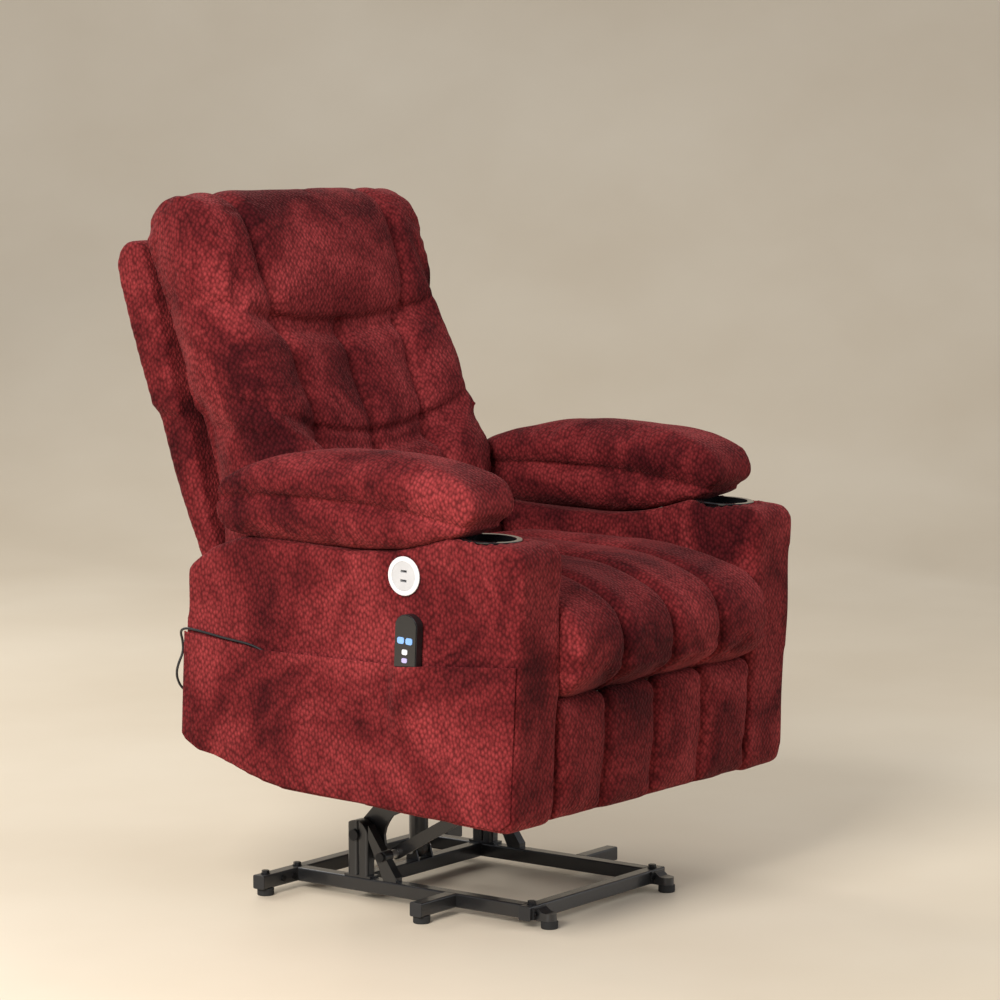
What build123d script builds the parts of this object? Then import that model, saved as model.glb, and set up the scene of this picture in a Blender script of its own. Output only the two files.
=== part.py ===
from build123d import *
import math
import os

# Lift recliner chair.  Millimetres.  The floor is z = 0, the sitter faces -Y and the
# sitter's left side is +X.  The chair stands part-way up on its lift base, tipped a
# little forward.  Everything above the base is drawn level, in the chair's own frame
# (y, z from the bottom edge of the arms), and then set on the lift by CHAIR.

# ---- driving dimensions -------------------------------------------------------------
RIDE_HEIGHT = 227.5      # floor to the chair frame's origin
CHAIR_TILT = 2.63        # forward tip of the chair, degrees

TUBE = 25.0              # square tube of the floor frame
TUBE_WALL = 1.6
FOOT_HEIGHT = 13.0
FOOT_RADIUS = 15.0
RAIL_OUT = 195.0         # outer face of the side rails
REAR_BAR_Y = 182.0       # front face of the rear crossbar
REAR_BAR_HALF = 290.0
MID_BAR_Y = 46.0         # front face of the middle crossbar
FRONT_BAR_Y = -341.0     # front face of the front crossbar
FRONT_BAR_HALF = 205.0
STUB_Y = -175.0          # front face of the outrigger stubs
STUB_OUT = 294.0
CAP = 3.0                # thickness of a tube end cap

UPRIGHT_BACK = 69.0
UPRIGHT_DEPTH = 46.0
LIFT_PIVOT = (50.0, 114.0)       # y, z of the lift arms' lower pivot
LINK_PIVOT = (-7.0, 80.0)        # y, z of the follower links' lower pivot
ARM_LENGTH = 300.0               # pivot to pivot
ARM_RISE = 30.0                  # degrees above level, pointing forward
PIVOT_R = 6.0
LINK_R = 5.0
RUN = 0.05                       # radial clearance of a running fit
PLATE = 6.0                      # steel plate
ARM_X = 158.0                    # inner face of each lift arm plate
TIE_R = 11.0                     # tube between the two lift arms
TIE_PLACE = 0.55                 # how far along the arms it stands
LINK_X = 146.0                   # inner face of each follower link
CARRIAGE_X = 134.0               # inner face of each carriage plate

TILT_PIVOT = (-262.0, 90.0)      # chair frame
TILT_SHAFT_R = 10.0
CROSS_TUBE_R = 12.5
CARRIAGE_TUBE = (-40.0, 104.0)   # chair frame

DRIVE_PIN_Z = 57.0
DRIVE_Y = 60.0
DRIVE_R = 17.5                   # outer tube of the lift column
DRIVE_WALL = 1.5
DRIVE_SLIP = 0.3                 # radial gap between the column's tubes
DRIVE_TUBE = 146.0
DRIVE_TOP = 215.0                # chair frame height of the column's top pin
DRIVE_BEAM = 33.0                # pin to the front of the beam behind it
EYE_R = 21.0                     # gearbox eye
EYE_BORE = 16.0

ARM_IN = 292.0                   # inner face of each upholstered arm
ARM_OUT = 410.0
ARM_FRONT = -458.0
ARM_BACK = 268.0
BOARD = 19.5                     # seat box side boards
FRONT_RAIL_Y = -342.0            # front faces of the spring rails
REAR_RAIL_Y = -10.0
RAIL_DEPTH = 20.0
SEAT_FRONT = -500.0
SEAT_BOTTOM = 222.0
SEAT_TOP = 408.0
SEAT_SIDE_GAP = 2.0
CUP_Y = -346.0
CUP_X = 350.0
CUP_R = 42.0
CUP_WALL = 2.5
CUP_RIM_R = 53.0
CUP_DEPTH = 78.0
CUP_TOP = 478.0

PANEL_TOP = 212.0                # footrest panel
PANEL_BOTTOM = 2.0
PANEL_BACK = -418.0
PANEL_THICK = 40.0
PANEL_HALF = 288.0
FOOT_PIVOT = (-360.0, 190.0)     # chair frame
FOOT_LINK = 175.0
FOOT_SPREAD = 7.9                # lean of each footrest link, degrees
FOOT_SHAFT_R = 8.0

BACK_PIVOT = (205.0, 262.0)      # chair frame
BACK_PIN_R = 8.0
BACK_HALF = 300.0
BACK_LOW_HALF = 287.0

HAND_Y = -236.0
HAND_W = 46.0
HAND_H = 158.0
HAND_T = 17.0
HAND_BOTTOM = 186.0
HAND_BACK = -412.6
POCKET_GAP = 5.0
POCKET_SHEET = 2.5
HUB_Y = -214.0
HUB_Z = 404.0
HUB_R = 33.0
CABLE_R = 2.2

# ---- derived places -----------------------------------------------------------------
CHAIR = Pos(0, 0, RIDE_HEIGHT) * Rot(CHAIR_TILT, 0, 0)
TUBE_TOP = FOOT_HEIGHT + TUBE
RAIL_IN = RAIL_OUT - TUBE
BOARD_OUT = ARM_IN - 0.1
BOARD_IN = BOARD_OUT - BOARD
rise = math.radians(ARM_RISE)
ARM_TOP_PIVOT = (LIFT_PIVOT[0] - ARM_LENGTH * math.cos(rise), LIFT_PIVOT[1] + ARM_LENGTH * math.sin(rise))
TIE = tuple(a + TIE_PLACE * (b - a) for a, b in zip(LIFT_PIVOT, ARM_TOP_PIVOT))
LINK_OFFSET = (LINK_PIVOT[0] - LIFT_PIVOT[0], LINK_PIVOT[1] - LIFT_PIVOT[1])
LINK_TOP_PIVOT = (ARM_TOP_PIVOT[0] + LINK_OFFSET[0], ARM_TOP_PIVOT[1] + LINK_OFFSET[1])
lean = math.radians(FOOT_SPREAD)
FOOT_ELBOW = (FOOT_PIVOT[0] - FOOT_LINK * math.sin(lean), FOOT_PIVOT[1] - FOOT_LINK * math.cos(lean))
PANEL_PIVOT = (FOOT_PIVOT[0] - 2 * FOOT_LINK * math.sin(lean), FOOT_PIVOT[1])
FOOT_PLATE = 5.0
FOOT_A_X = BOARD_IN - 14.0       # inner face of the rear footrest links
FOOT_B_X = FOOT_A_X - 8.0        # inner face of the front footrest links
FOOT_C_X = FOOT_B_X - 8.0        # inner face of the footrest panel's brackets


def to_chair(y, z):
    """A point of the room, in the chair's own frame."""
    tip = math.radians(CHAIR_TILT)
    up = z - RIDE_HEIGHT
    return (y * math.cos(tip) + up * math.sin(tip), -y * math.sin(tip) + up * math.cos(tip))


def to_room(y, z):
    """A point of the chair's own frame, in the room."""
    tip = math.radians(CHAIR_TILT)
    return (y * math.cos(tip) - z * math.sin(tip), y * math.sin(tip) + z * math.cos(tip) + RIDE_HEIGHT)


ARM_TOP = to_chair(*ARM_TOP_PIVOT)
LINK_TOP = to_chair(*LINK_TOP_PIVOT)
DRIVE_TOP_Y = to_chair(DRIVE_Y, RIDE_HEIGHT + DRIVE_TOP)[0]
DRIVE_HEAD_Z = to_room(DRIVE_TOP_Y, DRIVE_TOP)[1]


# ---- small makers -------------------------------------------------------------------
def side_plate(outline, x_low, x_high):
    """A flat piece with an outline given in Y and Z, between two planes of X."""
    corners = [(x_low, y, z) for y, z in outline]
    return extrude(make_face(Polyline(*corners, close=True)), x_high - x_low, dir=(1, 0, 0))


def side_shape(edges, x_low, x_high):
    """As side_plate, for an outline of lines, arcs and splines drawn in the YZ plane at X = 0."""
    return Pos(x_low, 0, 0) * extrude(make_face(edges), x_high - x_low, dir=(1, 0, 0))


def rod(radius, x_low, x_high, y, z):
    """A round bar along X."""
    length = x_high - x_low
    return Pos((x_low + x_high) / 2, y, z) * Rot(0, 90, 0) * Cylinder(radius, length)


def post(radius, z_low, z_high, x, y):
    """A round bar along Z."""
    return Pos(x, y, (z_low + z_high) / 2) * Cylinder(radius, z_high - z_low)


def block(low, high):
    """A box between two corners."""
    size = [b - a for a, b in zip(low, high)]
    middle = [(a + b) / 2 for a, b in zip(low, high)]
    return Pos(*middle) * Box(*size)


def both(shape):
    """The piece and its mirror image on the other side of the chair."""
    return Compound(children=[shape, mirror(shape, about=Plane.YZ)])


def bar_plate(start, end, half, x_low, x_high):
    """A flat link with round ends, from one pivot to another."""
    run = math.hypot(end[0] - start[0], end[1] - start[1])
    tilt = math.degrees(math.atan2(end[1] - start[1], end[0] - start[0]))
    web = Pos((x_low + x_high) / 2, (start[0] + end[0]) / 2, (start[1] + end[1]) / 2) * (
        Rot(tilt, 0, 0) * Box(x_high - x_low, run, 2 * half))
    return web + rod(half, x_low, x_high, *start) + rod(half, x_low, x_high, *end)


def square_tube(length):
    """Square tube along Z from the origin, with rounded corners."""
    outer = RectangleRounded(TUBE, TUBE, 3.0)
    inner = RectangleRounded(TUBE - 2 * TUBE_WALL, TUBE - 2 * TUBE_WALL, 1.5)
    return extrude(outer - inner, length)


def tube_along_x(x_low, x_high, y_front):
    middle_z = FOOT_HEIGHT + TUBE / 2
    return Pos(x_low, y_front + TUBE / 2, middle_z) * Rot(0, 90, 0) * square_tube(x_high - x_low)


def tube_along_y(y_low, y_high, x_low):
    middle_z = FOOT_HEIGHT + TUBE / 2
    return Pos(x_low + TUBE / 2, y_low, middle_z) * Rot(-90, 0, 0) * square_tube(y_high - y_low)


# ---- floor frame --------------------------------------------------------------------
FOOT_SPOTS = [
    (REAR_BAR_HALF - 20, REAR_BAR_Y + TUBE / 2),
    (STUB_OUT - 18, STUB_Y + TUBE / 2),
    (FRONT_BAR_HALF - 27, FRONT_BAR_Y - 22),
]
STEM_R = 4.0


def with_foot_holes(bar, spot):
    for side in (-1, 1):
        bar = bar - post(STEM_R + 0.1, FOOT_HEIGHT - 1, FOOT_HEIGHT + TUBE_WALL + 1, side * spot[0], spot[1])
    return bar


def rear_crossbar():
    end = REAR_BAR_HALF - CAP
    return with_foot_holes(tube_along_x(-end, end, REAR_BAR_Y), FOOT_SPOTS[0])


def middle_crossbar():
    return tube_along_x(-RAIL_IN, RAIL_IN, MID_BAR_Y)


def front_crossbar():
    end = FRONT_BAR_HALF - CAP
    return tube_along_x(-end, end, FRONT_BAR_Y)


def side_rails():
    return both(tube_along_y(FRONT_BAR_Y + TUBE, REAR_BAR_Y, RAIL_IN))


def outrigger_stubs():
    stub = tube_along_x(RAIL_OUT, STUB_OUT - CAP, STUB_Y)
    stub = stub - post(STEM_R + 0.1, FOOT_HEIGHT - 1, FOOT_HEIGHT + TUBE_WALL + 1, *FOOT_SPOTS[1])
    return both(stub)


def end_cap(x_out, y_front):
    """Moulded plug with a flange as big as the tube."""
    middle = (y_front + TUBE / 2, FOOT_HEIGHT + TUBE / 2)
    flange = Pos(x_out - CAP / 2, *middle) * Box(CAP, TUBE, TUBE)
    flange = fillet(flange.edges().filter_by(Axis.X), 3.0)
    flange = fillet(flange.faces().sort_by(Axis.X)[-1].edges(), 1.0)
    bore = TUBE - 2 * TUBE_WALL - 0.3
    plug = Pos(x_out - CAP - 6, *middle) * Box(12, bore, bore)
    plug = fillet(plug.edges().filter_by(Axis.X), 2.0)
    return flange + plug


def tube_end_caps():
    places = [(REAR_BAR_HALF, REAR_BAR_Y), (STUB_OUT, STUB_Y), (FRONT_BAR_HALF, FRONT_BAR_Y)]
    caps = []
    for x_out, y_front in places:
        cap = end_cap(x_out, y_front)
        caps += [cap, mirror(cap, about=Plane.YZ)]
    return Compound(children=caps)


def rubber_feet():
    feet = []
    for x, y in FOOT_SPOTS:
        pad = post(FOOT_RADIUS, 0, FOOT_HEIGHT, x, y)
        pad = fillet(pad.edges().sort_by(Axis.Z)[0], 2.0)
        pad = fillet(pad.edges().sort_by(Axis.Z)[-1], 1.0)
        foot = pad + post(STEM_R, FOOT_HEIGHT, FOOT_HEIGHT + TUBE_WALL, x, y)
        feet += [foot, mirror(foot, about=Plane.YZ)]
    return Compound(children=feet)


def front_foot_brackets():
    """Cast lugs bolted to the front crossbar, each reaching forward over its own foot."""
    x, y = FOOT_SPOTS[2]
    outline = [(FRONT_BAR_Y, FOOT_HEIGHT), (FRONT_BAR_Y, 36), (FRONT_BAR_Y - 7, 34),
               (FRONT_BAR_Y - 15, 28), (y, 27), (y, FOOT_HEIGHT)]
    lug = side_plate(outline, x - 13, x + 13) + post(13, FOOT_HEIGHT, 27, x, y)
    flange = block((x - 20, FRONT_BAR_Y - 4, FOOT_HEIGHT + 2), (x + 20, FRONT_BAR_Y, TUBE_TOP - 2))
    lug = lug + flange - post(STEM_R + 0.1, FOOT_HEIGHT - 1, FOOT_HEIGHT + TUBE_WALL + 0.2, x, y)
    return both(lug)


def upright():
    """Folded steel post with two rounded ribs, its head rounded about the lift pivot."""
    rib = UPRIGHT_DEPTH / 2
    body = Part()
    for step in (0, 1):
        centre = UPRIGHT_BACK - rib * (step + 0.5)
        section = Pos(RAIL_IN + TUBE / 2, centre, TUBE_TOP) * RectangleRounded(TUBE, rib, 7.0)
        body = body + extrude(section, LIFT_PIVOT[1] + 30 - TUBE_TOP)
    flange_depth = UPRIGHT_DEPTH + 12
    flange = block((RAIL_IN, UPRIGHT_BACK - flange_depth + 6, TUBE_TOP), (RAIL_OUT, UPRIGHT_BACK + 6, TUBE_TOP + 4))
    body = body + block((RAIL_IN + 8, UPRIGHT_BACK - UPRIGHT_DEPTH + 6, TUBE_TOP),
                        (RAIL_OUT - 8, UPRIGHT_BACK - 6, LIFT_PIVOT[1]))
    head = rod(UPRIGHT_DEPTH / 2 + 3, RAIL_IN - 1, RAIL_OUT + 1, *LIFT_PIVOT)
    column = block((RAIL_IN - 1, UPRIGHT_BACK - UPRIGHT_DEPTH - 1, TUBE_TOP),
                   (RAIL_OUT + 1, UPRIGHT_BACK + 1, LIFT_PIVOT[1]))
    body = (body & (head + column)) + flange
    return body - rod(PIVOT_R + RUN, RAIL_IN - 2, RAIL_OUT + 2, *LIFT_PIVOT)


def uprights():
    return both(upright())


def upright_gusset():
    """Strut from the head of the upright down to the rail, with a thin web behind it."""
    face = UPRIGHT_BACK - UPRIGHT_DEPTH - 0.1
    foot_y = face - 62
    strut = side_plate([(face, 133), (face, 108), (foot_y + 28, TUBE_TOP), (foot_y, TUBE_TOP),
                        (foot_y, TUBE_TOP + 8)], RAIL_IN + 4, RAIL_OUT - 3)
    web = side_plate([(face, 112), (face, TUBE_TOP + 34), (face - 18, TUBE_TOP + 34), (face - 22, TUBE_TOP + 22),
                      (foot_y + 26, TUBE_TOP + 10)], RAIL_IN + 4, RAIL_IN + 8)
    boss = rod(11, RAIL_IN + 1, RAIL_OUT - 3, *LINK_PIVOT)
    return strut + web + boss - rod(LINK_R + RUN, RAIL_IN - 2, RAIL_OUT + 2, *LINK_PIVOT)


def upright_gussets():
    return both(upright_gusset())


def hex_head(x, y, z, across, height):
    """Bolt head standing up in Z."""
    return Pos(x, y, z) * extrude(RegularPolygon(across / 2, 6, major_radius=False), height)


def frame_bolts():
    bolts = []
    tops = [(RAIL_IN + TUBE / 2, FRONT_BAR_Y + TUBE / 2), (REAR_BAR_HALF - 20, REAR_BAR_Y + TUBE / 2),
            (RAIL_IN + TUBE / 2, REAR_BAR_Y + TUBE / 2)]
    for x, y in tops:
        bolt = post(8.5, TUBE_TOP, TUBE_TOP + 1.5, x, y) + hex_head(x, y, TUBE_TOP + 1.5, 12, 5)
        bolts += [bolt, mirror(bolt, about=Plane.YZ)]
    for y in (REAR_BAR_Y, FRONT_BAR_Y - 4):
        for x in ((RAIL_OUT + 42, RAIL_OUT + 12) if y > 0 else (FOOT_SPOTS[2][0] - 16.5, FOOT_SPOTS[2][0] + 16.5)):
            face = Pos(x, y - 4, FOOT_HEIGHT + TUBE / 2) * Rot(90, 0, 0) * Cylinder(3.2 if y < 0 else 5.5, 3)
            face = Pos(0, 2.5, 0) * face
            bolts += [face, mirror(face, about=Plane.YZ)]
    return Compound(children=bolts)


def drive_clevis():
    """Two ears welded to the middle crossbar for the foot of the lift column."""
    ear = side_plate([(DRIVE_Y - 17, TUBE_TOP), (DRIVE_Y + 11, TUBE_TOP), (DRIVE_Y + 11, DRIVE_PIN_Z),
                      (DRIVE_Y, DRIVE_PIN_Z + 11), (DRIVE_Y - 11, DRIVE_PIN_Z)],
                     DRIVE_R + 1, DRIVE_R + 5)
    return both(ear - rod(LINK_R + RUN, DRIVE_R, DRIVE_R + 8, DRIVE_Y, DRIVE_PIN_Z))


# ---- lift linkage -------------------------------------------------------------------
def base_pivot_bolts():
    """Shoulder bolts through the uprights and gussets that carry the lift arms and the follower links."""
    y, z = LIFT_PIVOT
    arm = rod(PIVOT_R, ARM_X - 5, RAIL_OUT + 2, y, z) + rod(10, RAIL_OUT + 0.1, RAIL_OUT + 6, y, z)
    arm = arm + rod(9, ARM_X - 5, ARM_X - 0.5, y, z)
    y, z = LINK_PIVOT
    link = rod(LINK_R, LINK_X - 4, RAIL_OUT - 2, y, z) + rod(8.5, RAIL_OUT - 2.9, RAIL_OUT + 3, y, z)
    link = link + rod(8.5, LINK_X - 5, LINK_X - 0.5, y, z)
    return Compound(children=[*both(arm).solids(), *both(link).solids()])


def pivot_washers():
    """Spacer rings that hold the swinging plates off the uprights."""
    wide = rod(13, ARM_X + PLATE + 0.3, RAIL_IN - 0.2, *LIFT_PIVOT)
    wide = wide - rod(PIVOT_R + RUN, ARM_X, RAIL_OUT, *LIFT_PIVOT)
    long = rod(8, LINK_X + PLATE + 0.3, RAIL_IN + 0.8, *LINK_PIVOT)
    long = long - rod(LINK_R + RUN, LINK_X, RAIL_OUT, *LINK_PIVOT)
    return Compound(children=[*both(wide).solids(), *both(long).solids()])


def lift_arm():
    """Cranked plate: broad and hollow-fronted at the pivot, straight and slimmer above it."""
    y0, z0 = LIFT_PIVOT
    y1, z1 = ARM_TOP_PIVOT
    slope = math.atan2(z1 - z0, y1 - y0)
    across = (-math.sin(slope), math.cos(slope))
    upper = (y1 - 20 * across[0], z1 - 20 * across[1])
    lower = (y1 + 20 * across[0], z1 + 20 * across[1])
    front = [(y0 - 44, z0 - 25), (y0 - 42, z0 - 12), (y0 - 41, z0), (y0 - 44, z0 + 12), (y0 - 50, z0 + 23),
             (y0 - 59, z0 + 35)]
    outline = [(y0, z0 - 22), *front, lower, upper, (y0 - 62, z0 + 77), (y0 - 26, z0 + 58), (y0 + 12, z0 + 18)]
    plate = side_plate(outline, ARM_X, ARM_X + PLATE)
    for centre, radius in ((LIFT_PIVOT, 22), (ARM_TOP_PIVOT, 20)):
        plate = plate + rod(radius, ARM_X, ARM_X + PLATE, *centre)
    for centre in (LIFT_PIVOT, ARM_TOP_PIVOT):
        plate = plate - rod(PIVOT_R + RUN, ARM_X - 1, ARM_X + PLATE + 1, *centre)
    return plate - rod(TIE_R, ARM_X - 1, ARM_X + PLATE + 1, *TIE)


def lift_arms():
    return both(lift_arm())


def arm_tie_tube():
    """Round tube welded between the two lift arms, so that they rise together."""
    half = ARM_X + PLATE
    return rod(TIE_R, -half, half, *TIE) - rod(TIE_R - 2, -half - 1, half + 1, *TIE)


def follower_links():
    link = bar_plate(LINK_PIVOT, LINK_TOP_PIVOT, 11, LINK_X, LINK_X + PLATE)
    link = link - rod(LINK_R + RUN, LINK_X - 1, LINK_X + PLATE + 1, *LINK_PIVOT)
    eye = rod(14, LINK_X, LINK_X + PLATE, *LINK_TOP_PIVOT)
    return both(link + eye - rod(LINK_R + 4, LINK_X - 1, LINK_X + PLATE + 1, *LINK_TOP_PIVOT))


# ---- carriage that the arms carry, on which the chair tips ---------------------------
def carriage_plates():
    """Side plates of the carriage, each with a horn behind that holds the beam of the lift column."""
    y1, z1 = ARM_TOP
    y2, z2 = LINK_TOP
    y3, z3 = TILT_PIVOT
    y4, z4 = CARRIAGE_TUBE
    horn_y = DRIVE_TOP_Y + DRIVE_BEAM
    outline = [(y2 - 17, z2 - 10), (y3 - 18, z3), (y3 - 10, z3 + 18), (y3 + 20, z3 + 20), (y4, z4 + 18),
               (horn_y - 6, DRIVE_TOP + 1), (horn_y + TUBE + 3, DRIVE_TOP + 1), (horn_y + TUBE + 3, DRIVE_TOP - 26),
               (y4 + 24, z4 - 16), (y1 + 60, z1 - 6), (y1, z1 - 24), (y2 + 8, z2 - 17)]
    plate = side_plate(outline, CARRIAGE_X, CARRIAGE_X + PLATE)
    for radius, centre in ((PIVOT_R + 0.02, ARM_TOP), (LINK_R + 0.02, LINK_TOP), (TILT_SHAFT_R, TILT_PIVOT),
                           (CROSS_TUBE_R, CARRIAGE_TUBE)):
        plate = plate - rod(radius, CARRIAGE_X - 1, CARRIAGE_X + PLATE + 1, *centre)
    return CHAIR * both(plate)


def carriage_pivot_bolts():
    """Bolts on the carriage that the lift arms and the follower links hang from."""
    arm = rod(PIVOT_R, CARRIAGE_X - 5, ARM_X + PLATE + 4, *ARM_TOP)
    arm = arm + rod(9, ARM_X + PLATE + 0.3, ARM_X + PLATE + 4, *ARM_TOP)
    arm = arm + rod(9, CARRIAGE_X + PLATE, ARM_X - 0.3, *ARM_TOP) + rod(9, CARRIAGE_X - 5, CARRIAGE_X, *ARM_TOP)
    link = rod(LINK_R, CARRIAGE_X - 5, LINK_X + PLATE + 4, *LINK_TOP)
    link = link + rod(11, LINK_X + PLATE + 0.4, LINK_X + PLATE + 4, *LINK_TOP)
    link = link + rod(8, CARRIAGE_X + PLATE, LINK_X - 0.3, *LINK_TOP)
    link = link + rod(8, CARRIAGE_X - 5, CARRIAGE_X, *LINK_TOP)
    return CHAIR * Compound(children=[*both(arm).solids(), *both(link).solids()])


def carriage_tubes():
    """The shaft that the chair tips on, and the cross tube that it rests on behind."""
    half = BOARD_IN - 10
    tube = rod(CROSS_TUBE_R, -half, half, *CARRIAGE_TUBE)
    tube = tube - rod(CROSS_TUBE_R - 2, -half - 1, half + 1, *CARRIAGE_TUBE)
    shaft = rod(TILT_SHAFT_R, -BOARD_IN + 1, BOARD_IN - 1, *TILT_PIVOT)
    return CHAIR * Compound(children=[tube, shaft])


# ---- lift column --------------------------------------------------------------------
def column_tube(stage):
    """Outer and inner radius of one tube of the telescopic column, 0 being the outermost."""
    outer = DRIVE_R - stage * (DRIVE_WALL + DRIVE_SLIP)
    return outer, outer - DRIVE_WALL


def column_pin():
    half = DRIVE_R + 8
    pin = rod(LINK_R, -half, half, DRIVE_Y, DRIVE_PIN_Z)
    heads = [rod(8, side * (half - 1) - 2, side * (half - 1) + 2, DRIVE_Y, DRIVE_PIN_Z) for side in (-1, 1)]
    return pin + heads[0] + heads[1]


def column_outer_tube():
    """Steel tube with a domed foot that turns on the clevis pin."""
    radius, bore = column_tube(0)
    tube = post(radius, DRIVE_PIN_Z, DRIVE_PIN_Z + DRIVE_TUBE, 0, DRIVE_Y)
    dome = Pos(0, DRIVE_Y, DRIVE_PIN_Z) * Sphere(radius)
    tube = tube + dome - post(bore, DRIVE_PIN_Z + 14, DRIVE_PIN_Z + DRIVE_TUBE + 1, 0, DRIVE_Y)
    return tube - rod(LINK_R + RUN, -DRIVE_R - 2, DRIVE_R + 2, DRIVE_Y, DRIVE_PIN_Z)


def column_stage(stage, z_low, length):
    radius, bore = column_tube(stage)
    return post(radius, z_low, z_low + length, 0, DRIVE_Y) - post(bore, z_low - 1, z_low + length + 1, 0, DRIVE_Y)


HEAD_DROP = 66.0        # top pin down to the underside of the gearbox
STAGE_TUBE = 128.0
STAGE_DOWN = 57.6       # how far each sliding part still goes in when the chair is lowered


def column_stages():
    """The two sliding tubes, drawn out by equal amounts."""
    nested = DRIVE_PIN_Z + DRIVE_TUBE + 0.5 - STAGE_TUBE
    first = column_stage(1, nested + STAGE_DOWN, STAGE_TUBE)
    second = column_stage(2, nested + 2 * STAGE_DOWN, STAGE_TUBE)
    return first, second


def column_spindle():
    """Solid rod fixed in the gearbox, inside the last tube."""
    radius = column_tube(3)[0]
    low = DRIVE_HEAD_Z - HEAD_DROP - STAGE_TUBE + 1
    return post(radius, low, DRIVE_HEAD_Z - HEAD_DROP, 0, DRIVE_Y)


def drive_gearbox():
    """Casting with a wide eye for the top pin, which has play all round."""
    low = DRIVE_HEAD_Z - HEAD_DROP
    case = block((-22, DRIVE_Y - 21, low), (22, DRIVE_Y + 21, DRIVE_HEAD_Z - EYE_R + 1))
    case = fillet(case.edges().filter_by(Axis.Z), 5)
    neck = block((-16, DRIVE_Y - 12, low + 20), (16, DRIVE_Y + 12, DRIVE_HEAD_Z - EYE_BORE - 1))
    eye = rod(EYE_R, -16, 16, DRIVE_Y, DRIVE_HEAD_Z)
    return case + neck + eye - rod(EYE_BORE, -23, 23, DRIVE_Y, DRIVE_HEAD_Z)


def drive_motor():
    """Round motor can lying across the chair, bolted to the side of the gearbox."""
    z = DRIVE_HEAD_Z - HEAD_DROP + 20
    can = rod(18, 22.1, 112, DRIVE_Y, z)
    can = fillet(can.edges().sort_by(Axis.X)[-1], 3)
    return can + rod(7, 111.9, 118, DRIVE_Y, z)


def drive_crossmember():
    """Square tube between the carriage's horns, with two ears and the pin for the top of the column."""
    half = CARRIAGE_X - 0.1
    back = DRIVE_TOP_Y + DRIVE_BEAM
    beam = block((-half, back, DRIVE_TOP - TUBE + 1), (half, back + TUBE, DRIVE_TOP + 1))
    beam = beam - block((-half - 1, back + 2, DRIVE_TOP - TUBE + 3), (half + 1, back + TUBE - 2, DRIVE_TOP - 1))
    ear = side_plate([(back, DRIVE_TOP - 14), (back, DRIVE_TOP + 1), (DRIVE_TOP_Y - 6, DRIVE_TOP + 8),
                      (DRIVE_TOP_Y - 10, DRIVE_TOP - 8)], 26, 31)
    ears = both(ear - rod(LINK_R, 25, 32, DRIVE_TOP_Y, DRIVE_TOP))
    pin = rod(LINK_R, -31, 31, DRIVE_TOP_Y, DRIVE_TOP)
    return CHAIR * Compound(children=[beam, *ears.solids(), pin])


# ---- seat box ------------------------------------------------------------------------
def seat_side_boards():
    """Plywood sides of the seat box, higher behind the seat."""
    outline = [(-404, 36), (-404, 206), (84, 206), (84, 278), (226, 278), (226, 60), (200, 36)]
    board = side_plate(outline, BOARD_IN, BOARD_OUT)
    board = board - rod(TILT_SHAFT_R + 2, BOARD_IN - 1, BOARD_IN + 8, *TILT_PIVOT)
    return CHAIR * both(board)


def seat_rails():
    """Steel rails across the seat box for the springs, and the plywood back rail."""
    half = BOARD_IN - 0.1
    front = block((-half, FRONT_RAIL_Y, 184), (half, FRONT_RAIL_Y + RAIL_DEPTH, 206))
    rear = block((-half, REAR_RAIL_Y, 184), (half, REAR_RAIL_Y + RAIL_DEPTH, 206))
    board = block((-half, 190, 100), (half, 209, 205))
    return CHAIR * Compound(children=[front, rear, board])


def seat_springs():
    """Zigzag spring strands hooked over the front and the rear rail."""
    start = FRONT_RAIL_Y + RAIL_DEPTH + 12
    turns = 10
    step = (REAR_RAIL_Y - 12 - start) / turns
    strands = []
    for x in (-216, -72, 72, 216):
        points = []
        for i in range(turns + 1):
            side = 30 if i % 2 else -30
            y = start + i * step
            points += [(x + side, y - 8, 211), (x - side, y + 8, 211)]
        path = FilletPolyline(*points, radius=6.5)
        section = Plane(origin=path @ 0, z_dir=path % 0) * Circle(1.8)
        strands.append(sweep(section, path=path))
    return CHAIR * Compound(children=strands)


def seat_deck():
    """Felt pad laid on the springs under the cushion."""
    return CHAIR * block((-268, FRONT_RAIL_Y - 10, 214), (268, REAR_RAIL_Y + RAIL_DEPTH + 2, 220))


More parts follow.
